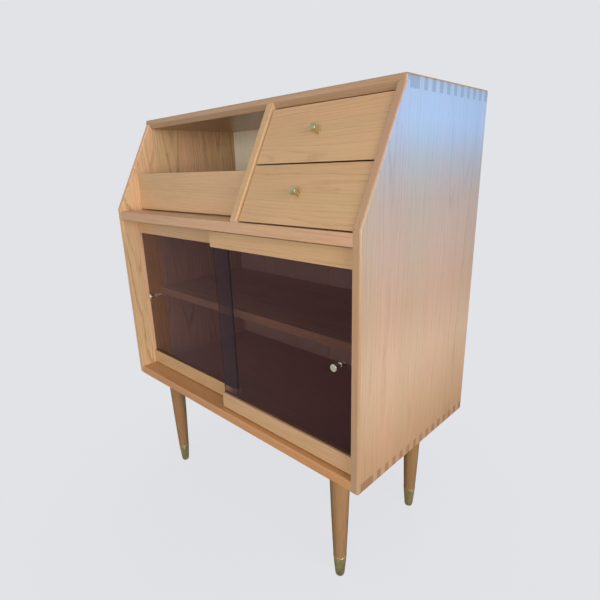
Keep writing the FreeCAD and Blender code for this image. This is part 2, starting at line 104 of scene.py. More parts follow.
# %% Helpers for shader trees
def put(socket, value):
    """Joins a socket to another one, or sets its plain value."""
    if isinstance(value, bpy.types.NodeSocket):
        socket.id_data.links.new(value, socket)
    elif value is not None:
        socket.default_value = value


def add(tree, kind, inputs=None, **settings):
    node = tree.nodes.new(kind)
    for key, value in settings.items():
        setattr(node, key, value)
    for key, value in (inputs or {}).items():
        put(node.inputs[key], value)
    return node


def maths(tree, operation, a, b=None, c=None, clamp=False):
    inputs = {i: value for i, value in enumerate((a, b, c)) if value is not None}
    return add(tree, "ShaderNodeMath", inputs, operation=operation, use_clamp=clamp).outputs[0]


def vector_maths(tree, operation, a, b=None):
    node = add(tree, "ShaderNodeVectorMath", {0: a, 1: b}, operation=operation)
    return node.outputs["Value" if operation in ("LENGTH", "DOT_PRODUCT") else "Vector"]


def blend(tree, factor, a, b, kind="MIX"):
    node = add(tree, "ShaderNodeMix", {0: factor, 6: a, 7: b}, data_type="RGBA", blend_type=kind)
    return node.outputs[2]


def spread(tree, value, low, high, to_low=0.0, to_high=1.0):
    """Maps low..high to to_low..to_high with a soft start and end."""
    inputs = {"Value": value, "From Min": low, "From Max": high, "To Min": to_low, "To Max": to_high}
    return add(tree, "ShaderNodeMapRange", inputs, interpolation_type="SMOOTHSTEP").outputs[0]


def noise(tree, vector, scale, detail=2.0, roughness=0.5):
    inputs = {"Vector": vector, "Scale": scale, "Detail": detail, "Roughness": roughness}
    return add(tree, "ShaderNodeTexNoise", inputs)


def group(name, inputs, outputs):
    """A shader node group: inputs and outputs are (name, socket type, default) and (name, type)."""
    tree = bpy.data.node_groups.new(name, "ShaderNodeTree")
    for label, kind, default in inputs:
        socket = tree.interface.new_socket(label, in_out="INPUT", socket_type="NodeSocket" + kind)
        if default is not None:
            socket.default_value = default
    for label, kind in outputs:
        tree.interface.new_socket(label, in_out="OUTPUT", socket_type="NodeSocket" + kind)
    return tree, tree.nodes.new("NodeGroupInput").outputs, tree.nodes.new("NodeGroupOutput").inputs


print("shader helpers ready")

# %% [markdown]
# **Oak.** A board is a slice of a log, so its figure is the same in depth as on its faces. The
# group works in the log's own space: X runs along the fibres, and the growth rings are
# cylinders about X. A flat slice beside the heart cuts them into the tall arches that
# joiners call cathedrals, and the end of the board shows them as arcs, with no extra work.
# Wide boards are glued from staves, each from another log, so a random number for each
# stave moves the heart. Oak's pores stand in the early part of each ring, as short dark
# dashes, and they are open, so they also lower the surface. End grain drinks more
# finish and is darker.

# %% The growth-ring group
oak_tree, oak_in, oak_out = group(
    "board_grain",
    [
        ("Log place", "Vector", None),
        ("Fibre direction", "Vector", (1, 0, 0)),
        ("Stave width", "Float", 0.09),
        ("Ring width", "Float", 0.006),
        ("Wander", "Float", 0.012),
        ("Heart depth", "Float", 0.05),
        ("Seed", "Float", 0.0),
        ("Light wood", "Color", (1, 1, 1, 1)),
        ("Dark wood", "Color", (0, 0, 0, 1)),
        ("End grain", "Color", (0, 0, 0, 1)),
    ],
    [("Color", "Color"), ("Roughness", "Float"), ("Height", "Float")],
)


# How often each noise repeats in a metre: along the fibres, and twice across them.
LONG, FINE, BROAD, DRIFT = (1.8, 9, 9), (9, 55, 55), (1.0, 8, 8), (1.7, 11, 11)
FIBRE, DASH = (9, 420, 420), (55, 1100, 1100)
HALF = (0.5, 0.5, 0.5)
ROSY, YELLOWISH = (1.03, 0.985, 1.0, 1), (0.98, 1.0, 0.95, 1)
TREMBLE = 0.004


def stretched(t, place, repeats, *detail):
    return noise(t, vector_maths(t, "MULTIPLY", place, repeats), 1.0, *detail)


def log_space(t, place, width, depth, seed):
    """The place in the log of this stave, and the stave's three random numbers."""
    axes = add(t, "ShaderNodeSeparateXYZ", {0: place}).outputs
    stave = maths(t, "FLOOR", maths(t, "DIVIDE", axes["Y"], width))
    key = add(t, "ShaderNodeCombineXYZ", {"X": stave, "Y": seed}).outputs[0]
    chance = add(t, "ShaderNodeTexWhiteNoise", {"Vector": key}, noise_dimensions="3D").outputs["Color"]
    chances = add(t, "ShaderNodeSeparateXYZ", {0: chance}).outputs
    middle = maths(t, "MULTIPLY", maths(t, "ADD", stave, chances["X"]), width)
    x = maths(t, "MULTIPLY_ADD", chances["Y"], 3.0, axes["X"])
    y = maths(t, "SUBTRACT", axes["Y"], middle)
    deep = maths(t, "MULTIPLY", maths(t, "ADD", chances["Z"], 0.35), depth)
    z = maths(t, "ADD", axes["Z"], deep)
    return add(t, "ShaderNodeCombineXYZ", {"X": x, "Y": y, "Z": z}).outputs[0], chances


def rings(t, place, wander, width):
    """How far through its ring a point lies, 0 to 1, and how strong that ring is."""
    long_noise = stretched(t, place, LONG).outputs["Color"]
    fine_noise = stretched(t, place, FINE).outputs["Color"]
    shift = vector_maths(t, "SUBTRACT", long_noise, HALF)
    tremor = vector_maths(t, "SUBTRACT", fine_noise, HALF)
    tremble = vector_maths(t, "MULTIPLY", tremor, (0, TREMBLE, TREMBLE))
    sway = add(t, "ShaderNodeVectorMath", {0: shift, "Scale": wander}, operation="SCALE").outputs["Vector"]
    bent = vector_maths(t, "ADD", vector_maths(t, "ADD", place, sway), tremble)
    radius = vector_maths(t, "LENGTH", vector_maths(t, "MULTIPLY", bent, (0, 1, 1)))
    age = maths(t, "DIVIDE", radius, width)
    whole_age = maths(t, "FLOOR", age)
    year = add(t, "ShaderNodeTexWhiteNoise", {"W": whole_age}, noise_dimensions="1D").outputs["Value"]
    return maths(t, "FRACT", age), year


def board_grain(t):
    asked = [oak_in[label] for label in ("Log place", "Stave width", "Heart depth", "Seed")]
    place, chances = log_space(t, *asked)
    through, year = rings(t, place, oak_in["Wander"], oak_in["Ring width"])
    early = maths(t, "SUBTRACT", 1.0, spread(t, through, 0.06, 0.42))
    early = maths(t, "MULTIPLY", early, spread(t, through, 0.0, 0.05))
    early = maths(t, "MULTIPLY", early, maths(t, "MULTIPLY_ADD", year, 0.7, 0.3))
    fibre = stretched(t, place, FIBRE, 3.0, 0.6).outputs["Fac"]
    broad = stretched(t, place, BROAD).outputs["Fac"]
    dashes = stretched(t, place, DASH, 1.0).outputs["Fac"]
    pores = maths(t, "MULTIPLY", spread(t, dashes, 0.5, 0.66), maths(t, "MULTIPLY_ADD", early, 0.85, 0.15))
    tone = maths(t, "MULTIPLY", early, 0.36)
    tone = maths(t, "MULTIPLY_ADD", maths(t, "SUBTRACT", fibre, 0.5), 1.0, tone)
    tone = maths(t, "MULTIPLY_ADD", maths(t, "SUBTRACT", broad, 0.5), 0.6, tone)
    tone = maths(t, "MULTIPLY_ADD", maths(t, "SUBTRACT", chances["Z"], 0.5), 0.14, tone)
    tone = maths(t, "MULTIPLY_ADD", pores, 0.52, maths(t, "ADD", tone, 0.15), clamp=True)
    drift = stretched(t, place, DRIFT).outputs["Fac"]
    hue = blend(t, spread(t, drift, 0.36, 0.64), ROSY, YELLOWISH)
    face = add(t, "ShaderNodeNewGeometry").outputs["True Normal"]
    along = maths(t, "ABSOLUTE", vector_maths(t, "DOT_PRODUCT", face, oak_in["Fibre direction"]))
    end = spread(t, along, 0.55, 0.9)
    wood = blend(t, 1.0, blend(t, tone, oak_in["Light wood"], oak_in["Dark wood"]), hue, "MULTIPLY")
    ends = blend(t, maths(t, "MULTIPLY", tone, 0.6), oak_in["End grain"], oak_in["Dark wood"])
    put(oak_out["Color"], blend(t, end, wood, ends))
    rough = maths(t, "MULTIPLY_ADD", pores, 0.25, maths(t, "MULTIPLY_ADD", fibre, 0.1, 0.3))
    put(oak_out["Roughness"], maths(t, "MULTIPLY_ADD", end, 0.12, rough))
    put(oak_out["Height"], maths(t, "SUBTRACT", maths(t, "MULTIPLY", fibre, 0.3), pores))


board_grain(oak_tree)
print("board_grain has", len(oak_tree.nodes), "nodes")

# %% [markdown]
# **Worn arrises and handling.** Hands and cloths rub the lacquer thin along each corner, where it
# turns a little paler. The Bevel node gives the normal that a rounded corner would have, and
# where that differs from the true one, the surface is near a corner. Noise breaks the line
# up. A second group gives the faint smears that a wiping cloth leaves in any polish.

# %% The wear and smear groups
wear_tree, wear_in, wear_out = group(
    "worn_arris", [("Reach", "Float", 0.002), ("Amount", "Float", 1.0)], [("Mask", "Float")]
)
soft_corner = add(wear_tree, "ShaderNodeBevel", {"Radius": wear_in["Reach"]}, samples=4).outputs[0]
flat_face = add(wear_tree, "ShaderNodeNewGeometry").outputs["Normal"]
parting = maths(wear_tree, "SUBTRACT", 1.0, vector_maths(wear_tree, "DOT_PRODUCT", soft_corner, flat_face))
spot = add(wear_tree, "ShaderNodeTexCoord").outputs["Object"]
broken = noise(wear_tree, spot, 45.0, 3.0).outputs["Fac"]
corner = spread(wear_tree, parting, 0.01, 0.22)
rubbed = maths(wear_tree, "MULTIPLY", corner, spread(wear_tree, broken, 0.3, 0.62))
put(wear_out["Mask"], maths(wear_tree, "MULTIPLY", rubbed, wear_in["Amount"], clamp=True))

smear_tree, smear_in, smear_out = group(
    "wiped_smears",
    [("Clean", "Float", 0.3), ("Smeared", "Float", 0.4), ("Size", "Float", 6.0)],
    [("Roughness", "Float")],
)
spot = add(smear_tree, "ShaderNodeTexCoord").outputs["Object"]
wiped = noise(smear_tree, spot, smear_in["Size"], 4.0, 0.6).outputs["Fac"]
wiped = spread(smear_tree, wiped, 0.35, 0.7)
step = maths(smear_tree, "SUBTRACT", smear_in["Smeared"], smear_in["Clean"])
put(smear_out["Roughness"], maths(smear_tree, "MULTIPLY_ADD", wiped, step, smear_in["Clean"]))
print("worn_arris and wiped_smears ready")

# %% [markdown]
# **Turned metal.** A lathe tool leaves fine rings round a brass knob or ferrule. The turned
# pieces below carry a UV map, once round in U and along the outline in V, so rings are
# noise that hardly changes along U. The group gives a height for the rings and a mask
# for the dull tarnish that collects in patches.

# %% The lathe-ring group
ring_tree, ring_in, ring_out = group(
    "lathe_rings", [("Rings", "Float", 90.0)], [("Height", "Float"), ("Tarnish", "Float")]
)
around = add(ring_tree, "ShaderNodeUVMap", uv_map="turned").outputs[0]
across = add(ring_tree, "ShaderNodeSeparateXYZ", {0: around}).outputs
once_round = maths(ring_tree, "MULTIPLY", across["X"], 1.5)
along_outline = maths(ring_tree, "MULTIPLY", across["Y"], ring_in["Rings"])
ring_place = add(ring_tree, "ShaderNodeCombineXYZ", {"X": once_round, "Y": along_outline}).outputs[0]
put(ring_out["Height"], noise(ring_tree, ring_place, 1.0, 3.0).outputs["Fac"])
spot = add(ring_tree, "ShaderNodeTexCoord").outputs["Object"]
put(ring_out["Tarnish"], spread(ring_tree, noise(ring_tree, spot, 120.0, 3.0).outputs["Fac"], 0.42, 0.72))
print("lathe_rings ready")

# %% [markdown]
# **The oak finishes.** Every board has its own log: its own place, tilt and seed. The Mapping node,
# set to Texture, undoes the board's place and turn, so that X is along the fibres and Z is
# the depth. A small tilt makes the cathedrals close up. The lacquer is a thin clear coat.

# %% Make an oak finish for one board
def axes_of(fibres, face):
    """The turn that takes X to the fibres and Z to the face."""
    x = Vector(fibres).normalized()
    z = Vector(face).normalized()
    return Matrix((x, z.cross(x), z)).transposed()


def shader(name, **sockets):
    material = bpy.data.materials.new(name)
    material.use_nodes = True
    surface = material.node_tree.nodes["Principled BSDF"]
    for key, value in sockets.items():
        surface.inputs[key.replace("_", " ")].default_value = value
    return material, material.node_tree, surface


def grouped(tree, name, **inputs):
    node = add(tree, "ShaderNodeGroup", node_tree=bpy.data.node_groups[name])
    for key, value in inputs.items():
        put(node.inputs[key.replace("_", " ")], value)
    return node.outputs


def oak(name, centre, fibres, face, woods, stave=0.09, ring=0.0042, wander=0.016, heart=0.05, coat=0.35):
    chance = random.Random(name)
    material, tree, surface = shader(name, Coat_Weight=coat, Coat_Roughness=0.2, Coat_IOR=1.5)
    tilt = Euler([math.radians(chance.uniform(-1.6, 1.6)) for _ in range(3)]).to_matrix()
    turn = (axes_of(fibres, face) @ tilt).to_euler()
    spot = add(tree, "ShaderNodeTexCoord").outputs["Object"]
    log = {"Vector": spot, "Location": centre, "Rotation": turn}
    place = add(tree, "ShaderNodeMapping", log, vector_type="TEXTURE")
    grain = grouped(
        tree, "board_grain", Log_place=place.outputs[0], Fibre_direction=Vector(fibres).normalized(),
        Stave_width=stave, Ring_width=ring, Wander=wander, Heart_depth=heart, Seed=chance.uniform(0, 90),
        Light_wood=(*woods[0], 1), Dark_wood=(*woods[1], 1), End_grain=(*woods[2], 1),
    )
    rub = grouped(tree, "worn_arris", Reach=0.0025, Amount=0.45)["Mask"]
    put(surface.inputs["Base Color"], blend(tree, rub, grain["Color"], (*woods[3], 1)))
    put(surface.inputs["Roughness"], grain["Roughness"])
    bump = add(tree, "ShaderNodeBump", {"Strength": 0.35, "Distance": 0.00025, "Height": grain["Height"]})
    put(surface.inputs["Normal"], bump.outputs[0])
    return material


print("oak() ready")

# %% [markdown]
# **Softened arrises.** The case's outer corners are rounded in the CAD, and the rest are knife-sharp.
# A joiner eases those with a stroke of abrasive paper, and they then catch the light. The CAD
# mesh is loose triangles, so a copy is merged and its flat faces joined. Each sharp outward
# corner that meets no other piece goes to a Bevel modifier. Corners inside a joint stay sharp,
# because boards that are glued flush are planed flush. Weighted normals then keep the broad
# faces flat and let the rounded corners shade smoothly.

# %% Ease the free corners of a board
def joined_mesh(node):
    """A merged copy of a CAD node's mesh, with its flat faces in one piece each."""
    build = bmesh.new()
    build.from_mesh(frame["nodes"][node].data)
    bmesh.ops.remove_doubles(build, verts=build.verts, dist=2e-6)
    bmesh.ops.dissolve_limit(build, angle_limit=math.radians(0.4), verts=build.verts, edges=build.edges)
    return build


def search_tree(mesh):
    points = [vertex.co.copy() for vertex in mesh.vertices]
    return BVHTree.FromPolygons(points, [list(polygon.vertices) for polygon in mesh.polygons])


trees = {node: (search_tree(piece.data), *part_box(node)) for node, piece in frame["nodes"].items()}


def stands_free(node, point, reach=0.0012):
    """True if no other piece of the same body comes within reach of the point."""
    for other, (tree, low, high) in trees.items():
        if other != node and body_of[other] == body_of[node]:
            near = all(low[i] - reach < point[i] < high[i] + reach for i in range(3))
            if near and tree.find_nearest(point)[3] < reach:
                return False
    return True


def finished(piece):
    """Applies a piece's modifiers to its mesh."""
    bpy.context.view_layer.update()
    mesh = bpy.data.meshes.new_from_object(piece.evaluated_get(bpy.context.evaluated_depsgraph_get()))
    piece.modifiers.clear()
    piece.data = mesh
    return piece


def piece_from(name, mesh, node, material):
    """A new object for a mesh, riding where the CAD node rides and standing for it."""
    piece = bpy.data.objects.new(name, mesh)
    bpy.context.scene.collection.objects.link(piece)
    mesh.materials.clear()
    mesh.materials.append(material)
    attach(piece, body_of[node])
    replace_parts(piece, node)
    return piece


def eased(node, material, width):
    build = joined_mesh(node)
    weight = build.edges.layers.float.new("bevel_weight_edge")
    eased_count = 0
    for edge in build.edges:
        if len(edge.link_faces) == 2 and edge.calc_face_angle_signed(0) > math.radians(20):
            middle = (edge.verts[0].co + edge.verts[1].co) / 2
            if edge.calc_length() > 0.004 and stands_free(node, middle):
                edge[weight] = 1.0
                eased_count += 1
    mesh = bpy.data.meshes.new(node + "_eased")
    build.to_mesh(mesh)
    build.free()
    mesh.shade_smooth()
    mesh.set_sharp_from_angle(angle=math.radians(28))
    piece = piece_from(node + "_eased", mesh, node, material)
    bevel = piece.modifiers.new("ease", "BEVEL")
    bevel.width, bevel.segments, bevel.limit_method = width, 2, "WEIGHT"
    normals = piece.modifiers.new("flat faces", "WEIGHTED_NORMAL")
    normals.keep_sharp = True
    return finished(piece), eased_count


print("eased() ready")

# %% [markdown]
# ** Which way each board runs.** Fibres run along a board's length: upright in the sides, the divider and the back, and from side to side everywhere else. The face is the side that shows most. The woods are four colours each: light and dark figure, end grain, and the paler wood of a rubbed corner. A few boards have colours of their own: the deck is rosier and the shelf paler than the rest. Four of them carry painted light and shade. The left side is paler, as painted light for its brightly lit inner face. The top and the right side are duskier, as painted shade. The bottom is redder, partly from its own wood and partly as painted warm light bounced from below.

# %% Give every board its wood
UPRIGHT, SIDEWAYS, DEEP, FRONT = (0, 0, 1), (1, 0, 0), (0, 1, 0), (0, -1, 0)
DOORS, DRAWERS = ("right_door", "left_door"), ("lower_drawer", "upper_drawer")
fresh_oak = ((0.585, 0.378, 0.2), (0.43, 0.25, 0.12), (0.36, 0.2, 0.1), (0.68, 0.48, 0.3))
# The paler copy for the left side is painted light, the duskier copy for the right side and the top is
# painted shade, and the redder copy for the bottom is partly its own wood and partly painted warm bounce
# light.
oak_painted_shade = ((0.47, 0.29, 0.178), (0.34, 0.205, 0.105), (0.30, 0.18, 0.10), (0.55, 0.40, 0.27))
amber_oak_and_painted_bounce = ((0.56, 0.28, 0.118), (0.42, 0.19, 0.07), (0.25, 0.14, 0.08), (0.68, 0.43, 0.24))
rosy_oak = ((0.61, 0.375, 0.23), (0.42, 0.225, 0.125), (0.38, 0.2, 0.11), (0.69, 0.47, 0.32))
oak_painted_lit = ((0.76, 0.495, 0.272), (0.31, 0.17, 0.098), (0.40, 0.23, 0.12), (0.74, 0.53, 0.33))
shelf_oak = ((0.74, 0.50, 0.27), (0.46, 0.27, 0.13), (0.40, 0.23, 0.12), (0.78, 0.56, 0.34))
back_oak = ((0.93, 0.89, 0.72), (0.72, 0.66, 0.52), (0.42, 0.37, 0.30), (0.86, 0.81, 0.70))
ply = ((0.70, 0.55, 0.37), (0.52, 0.38, 0.23), (0.45, 0.31, 0.18), (0.74, 0.6, 0.43))
slope = (0, -0.885, 0.465)
board_ways = {
    "side_panel_left": (UPRIGHT, SIDEWAYS),
    "side_panel_right": (UPRIGHT, SIDEWAYS),
    "divider": (UPRIGHT, SIDEWAYS),
    "top_board": (SIDEWAYS, UPRIGHT),
    "bottom_board": (SIDEWAYS, UPRIGHT),
    "deck_board": (SIDEWAYS, UPRIGHT),
    "shelf": (SIDEWAYS, UPRIGHT),
    "cubby_board": (SIDEWAYS, FRONT),
    "drawer_runners": (DEEP, SIDEWAYS),
    "drawer_stops": (SIDEWAYS, FRONT),
}
for number in range(1, 7):
    board_ways[f"back_board_{number}"] = (UPRIGHT, FRONT)
for door in DOORS:
    board_ways[door + "_top_rail"] = (SIDEWAYS, FRONT)
    board_ways[door + "_bottom_rail"] = (SIDEWAYS, FRONT)
for drawer in DRAWERS:
    board_ways[drawer + "_front"] = (SIDEWAYS, slope)
    board_ways[drawer + "_left_side"] = (DEEP, SIDEWAYS)
    board_ways[drawer + "_right_side"] = (DEEP, SIDEWAYS)
    board_ways[drawer + "_back"] = (SIDEWAYS, FRONT)
    board_ways[drawer + "_bottom"] = (SIDEWAYS, UPRIGHT)
wood_sets = {"oak": fresh_oak, "back_oak": back_oak, "plywood": ply}
# The colours for the left side, the right side, the top and the bottom hold painted light and shade.
own_woods_and_painted_light = {
    "side_panel_right": oak_painted_shade,
    "top_board": oak_painted_shade,
    "bottom_board": amber_oak_and_painted_bounce,
    "side_panel_left": oak_painted_lit,
    "shelf": shelf_oak,
    "deck_board": rosy_oak,
}
for node, (fibres, face) in board_ways.items():
    low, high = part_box(node)
    stave = 0.2 if slot_of[node] != "oak" or "rail" in node else 0.085
    woods = own_woods_and_painted_light.get(node, wood_sets[slot_of[node]])
    finish = oak(node + "_wood", (low + high) / 2, fibres, face, woods, stave=stave)
    width = 0.0012 if "panel" in node or "board" in node else 0.0008
    board, count = eased(node, finish, width)
    print(f"{node}: {count} corners eased, {len(board.data.polygons)} faces")

# %% [markdown]
# **Turned pieces.** Legs, ferrules and knobs come off a lathe, so each is an outline swept round
# an axis. The outline is a short list of radius and height, with rounded corners as arcs, and
# `turned` builds the rings, the UV map for the lathe rings, and the closed ends.

# %% The lathe
UV_LENGTH = 0.05


def arc(radius, height, reach, start, end, steps=5):
    """Points of a quarter round or similar: centre radius and height, reach, and angles in degrees."""
    angles = [math.radians(start + (end - start) * i / steps) for i in range(steps + 1)]
    return [(radius + reach * math.cos(a), height + reach * math.sin(a)) for a in angles]


def lathe_mesh(name, outline, foot, axis, steps=48):
    """An outline of (radius, height) turned about an axis that starts at foot."""
    turn = Vector((0, 0, 1)).rotation_difference(Vector(axis)).to_matrix()
    build = bmesh.new()
    layer = build.loops.layers.uv.new("turned")
    run = [0.0]
    for (r0, h0), (r1, h1) in zip(outline, outline[1:]):
        run.append(run[-1] + math.hypot(r1 - r0, h1 - h0))
    loops = []
    for radius, height in outline:
        if radius < 1e-6:
            loops.append([build.verts.new(foot + turn @ Vector((0, 0, height)))] * steps)
        else:
            angles = [math.tau * i / steps for i in range(steps)]
            ring = [Vector((radius * math.cos(a), radius * math.sin(a), height)) for a in angles]
            loops.append([build.verts.new(foot + turn @ point) for point in ring])
    for j in range(len(outline) - 1):
        for i in range(steps):
            k = (i + 1) % steps
            corners = [(loops[j][i], i, j), (loops[j][k], i + 1, j)]
            corners += [(loops[j + 1][k], i + 1, j + 1), (loops[j + 1][i], i, j + 1)]
            kept = [c for n, c in enumerate(corners) if c[0] not in [d[0] for d in corners[:n]]]
            face = build.faces.new([c[0] for c in kept])
            face.smooth = True
            for loop, (_, u, v) in zip(face.loops, kept):
                loop[layer].uv = (u / steps, run[v] / UV_LENGTH)
    bmesh.ops.recalc_face_normals(build, faces=build.faces)
    mesh = bpy.data.meshes.new(name)
    build.to_mesh(mesh)
    build.free()
    mesh.set_sharp_from_angle(angle=math.radians(50))
    return mesh


print("lathe ready")

# %% [markdown]
# **Brass and steel.** Solid turned brass, wiped but not polished, and plated steel for the screws.
# The base is metal, and its colour moves a little towards a duller shade where tarnish sits.

# %% The metal finishes
def turned_metal(name, bright, dull, clean, smeared, rings):
    material, tree, surface = shader(name, Metallic=1.0)
    marks = grouped(tree, "lathe_rings", Rings=rings)
    put(surface.inputs["Base Color"], blend(tree, marks["Tarnish"], (*bright, 1), (*dull, 1)))
    smears = grouped(tree, "wiped_smears", Clean=clean, Smeared=smeared, Size=90.0)
    put(surface.inputs["Roughness"], smears["Roughness"])
    bump = add(tree, "ShaderNodeBump", {"Strength": 0.25, "Distance": 0.00008, "Height": marks["Height"]})
    put(surface.inputs["Normal"], bump.outputs[0])
    return material


brass = turned_metal("turned_brass", (0.88, 0.77, 0.41), (0.66, 0.58, 0.28), 0.28, 0.42, 160.0)
# Two more brasses: a near-white one is a painted highlight for the door knobs, and a darker one is painted
# shade for the drawer knobs.
brass_painted_highlight = turned_metal("brass_painted_highlight", (0.97, 0.93, 0.80), (0.85, 0.79, 0.60), 0.2, 0.34, 160.0)
brass_painted_shade = turned_metal("brass_painted_shade", (0.66, 0.63, 0.36), (0.50, 0.47, 0.24), 0.3, 0.45, 160.0)
steel = turned_metal("plated_steel", (0.66, 0.67, 0.68), (0.48, 0.48, 0.47), 0.25, 0.42, 60.0)
print("brass and steel ready")

# %% [markdown]
# ** Legs and ferrules.** Each leg is a tapered spindle with a slight belly, and a brass ferrule closes its foot. The legs are redder than the case, and darker, partly from their own wood and partly as painted shade. The ferrule has a small rounded rim, straight sides that narrow a little, and a rounded toe with a small flat.

# %% Turn the legs and ferrules
# The leg wood is darkened all round as painted shade, on top of its own darker, redder tone.
leg_woods_and_shade = ((0.33, 0.19, 0.085), (0.15, 0.08, 0.034), (0.16, 0.085, 0.04), (0.4, 0.26, 0.15))
leg_low, leg_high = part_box("leg_front_left")
cup_low, cup_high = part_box("foot_cup_front_left")
cup_r = (cup_high.x - cup_low.x) / 2
leg_r = (leg_high.x - leg_low.x) / 2
LEG_SUNK, FOOT_GAP, LEG_LOG_HEIGHT = 0.002, 0.0006, 0.15
RIM, LIP = 0.0005, 0.0014
TOE_FLAT, TOE_REACH, TOE_HEIGHT = 0.005, 0.0053, 0.008


def leg_outline(bottom, top, low_r, high_r, belly=0.0007, steps=14):
    points = [(0.0, bottom)]
    for i in range(steps + 1):
        share = i / steps
        radius = low_r + (high_r - low_r) * share + belly * 4 * share * (1 - share)
        points.append((radius, bottom + (top - bottom) * share))
    return points + [(0.0, top)]


def cup_outline(top):
    rim = arc(cup_r - RIM, top - RIM, RIM, 0, 90, 4)
    bends = [math.pi / 16 * i for i in range(9)]
    toe = [(TOE_FLAT + TOE_REACH * math.sin(a), TOE_HEIGHT * (1 - math.cos(a))) for a in bends]
    return [(0.0, 0.0)] + toe + rim + [(cup_r - LIP, top)]


for corner in ("front_left", "front_right", "rear_left", "rear_right"):
    low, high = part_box("leg_" + corner)
    foot = Vector(((low.x + high.x) / 2, (low.y + high.y) / 2, 0))
    log_centre = foot + Vector((0, 0, LEG_LOG_HEIGHT))
    log = {"stave": 0.3, "ring": 0.005, "wander": 0.012, "coat": 0.15}
    wood = oak("leg_wood_" + corner, log_centre, UPRIGHT, FRONT, leg_woods_and_shade, **log)
    outline = leg_outline(cup_high.z - LEG_SUNK, high.z, cup_r - FOOT_GAP, leg_r)
    spindle = lathe_mesh("spindle_" + corner, outline, foot, UPRIGHT, 64)
    piece_from("spindle_" + corner, spindle, "leg_" + corner, wood)
    ferrule = lathe_mesh("ferrule_" + corner, cup_outline(cup_high.z), foot, UPRIGHT, 64)
    piece_from("ferrule_" + corner, ferrule, "foot_cup_" + corner, brass)
print("four legs,", round((high.z - low.z) * 1000), "mm long, ferrules", round(cup_high.z * 1000), "mm")

# %% [markdown]
# ** Knobs.** Each knob is a plain pin with a cylindrical head, all in one. The door knobs stand straight out of the glass and are a near-white brass, as a painted highlight. The drawer knobs stand square to the slope and are a darker brass, as painted shade. The middle of the CAD knob's outer end gives each one its place.

# %% Turn the knobs
knob_length, stem_r, head_r, head_t = 0.019, 0.0035, 0.007, 0.0055
DISH = 0.0002


def knob_outline():
    head_z = knob_length - head_t
    foot = [(0.0, 0.0), (stem_r + 0.0008, 0.0), (stem_r + 0.0008, 0.0005)]
    stem = [(stem_r, 0.0011), (stem_r, head_z - 0.001)]
    fillet = [(stem_r + 0.0003, head_z - 0.0003), (stem_r + 0.001, head_z)]
    under = arc(head_r - 0.0005, head_z + 0.0005, 0.0005, -90, 0, 4)
    crown = arc(head_r - 0.0007, knob_length - 0.0007, 0.0007, 0, 90, 5)
    dish = [(head_r - 0.0016, knob_length), (head_r - 0.0022, knob_length - DISH)]
    dish += [(0.0, knob_length - DISH)]
    return foot + stem + fillet + under + crown + dish


def faces_out(owner):
    """The way the front of a door or drawer faces."""
    return Vector(slope if "drawer" in owner else FRONT).normalized()


def end_of(points, out, reach=1e-5):
    """The middle of the end that faces out."""
    furthest = max(point.dot(out) for point in points)
    rim = [point for point in points if point.dot(out) > furthest - reach]
    return sum(rim, Vector()) / len(rim)


for owner in DOORS + DRAWERS:
    out = faces_out(owner)
    points = [vertex.co for vertex in frame["nodes"][owner + "_knob"].data.vertices]
    foot = end_of(points, out, 1e-4) - out * knob_length
    mesh = lathe_mesh(owner + "_turned_knob", knob_outline(), foot, out)
    # Door knobs get the painted-highlight brass, and drawer knobs get the painted-shade brass.
    metal = brass_painted_highlight if "door" in owner else brass_painted_shade
    piece_from(owner + "_turned_knob", mesh, owner + "_knob", metal)
    print(owner, "knob foot at", [round(v, 4) for v in foot])

# %% [markdown]
# **Screws by rule.** The back boards and the drawer runners are held by countersunk screws, and each
# knob by a pan head. They are all one rule: a head that narrows or widens to its seat, a
# cross cut in it, a shank, and each one left at the angle where it came tight. So a
# Geometry Nodes tree makes them, with sizes as inputs, at points that each carry the
# direction their head faces. The points come from the CAD's own screws.

# %% The screw tree
screw_tree = bpy.data.node_groups.new("cross_head_screws", "GeometryNodeTree")
screw_sizes = {"Face radius": 0.0032, "Seat radius": 0.0015, "Head depth": 0.0017}
screw_sizes.update({"Shank radius": 0.0015, "Length": 0.02})
screw_tree.interface.new_socket("Seats", in_out="INPUT", socket_type="NodeSocketGeometry")
screw_tree.interface.new_socket("Screws", in_out="OUTPUT", socket_type="NodeSocketGeometry")
for label, size in screw_sizes.items():
    socket = screw_tree.interface.new_socket(label, in_out="INPUT", socket_type="NodeSocketFloat")
    socket.default_value = size
screw_tree.interface.new_socket("Seed", in_out="INPUT", socket_type="NodeSocketInt").default_value = 7
screw_tree.interface.new_socket("Metal", in_out="INPUT", socket_type="NodeSocketMaterial")
given = screw_tree.nodes.new("NodeGroupInput").outputs
made = screw_tree.nodes.new("NodeGroupOutput").inputs


def moved(shape, x=None, z=None):
    place = add(screw_tree, "ShaderNodeCombineXYZ", {"X": x, "Z": z}).outputs[0]
    return add(screw_tree, "GeometryNodeTransform", {"Geometry": shape, "Translation": place}).outputs[0]


head_inputs = {"Vertices": 40, "Radius Top": given["Face radius"], "Radius Bottom": given["Seat radius"]}
head_inputs["Depth"] = given["Head depth"]
head = add(screw_tree, "GeometryNodeMeshCone", head_inputs).outputs["Mesh"]
head = moved(head, z=maths(screw_tree, "MULTIPLY", given["Head depth"], -1.0))
arm = maths(screw_tree, "MULTIPLY", given["Face radius"], 1.1)
slot_width = maths(screw_tree, "MULTIPLY", given["Face radius"], 0.2)
cuts = []
for x, y in ((arm, slot_width), (slot_width, arm)):
    size = add(screw_tree, "ShaderNodeCombineXYZ", {"X": x, "Y": y, "Z": given["Head depth"]}).outputs[0]
    cuts.append(add(screw_tree, "GeometryNodeMeshCube", {"Size": size}).outputs["Mesh"])
boolean = {"operation": "DIFFERENCE", "solver": "EXACT"}
carved = add(screw_tree, "GeometryNodeMeshBoolean", {"Mesh 1": head}, **boolean)
for cut in cuts:
    put(carved.inputs["Mesh 2"], cut)
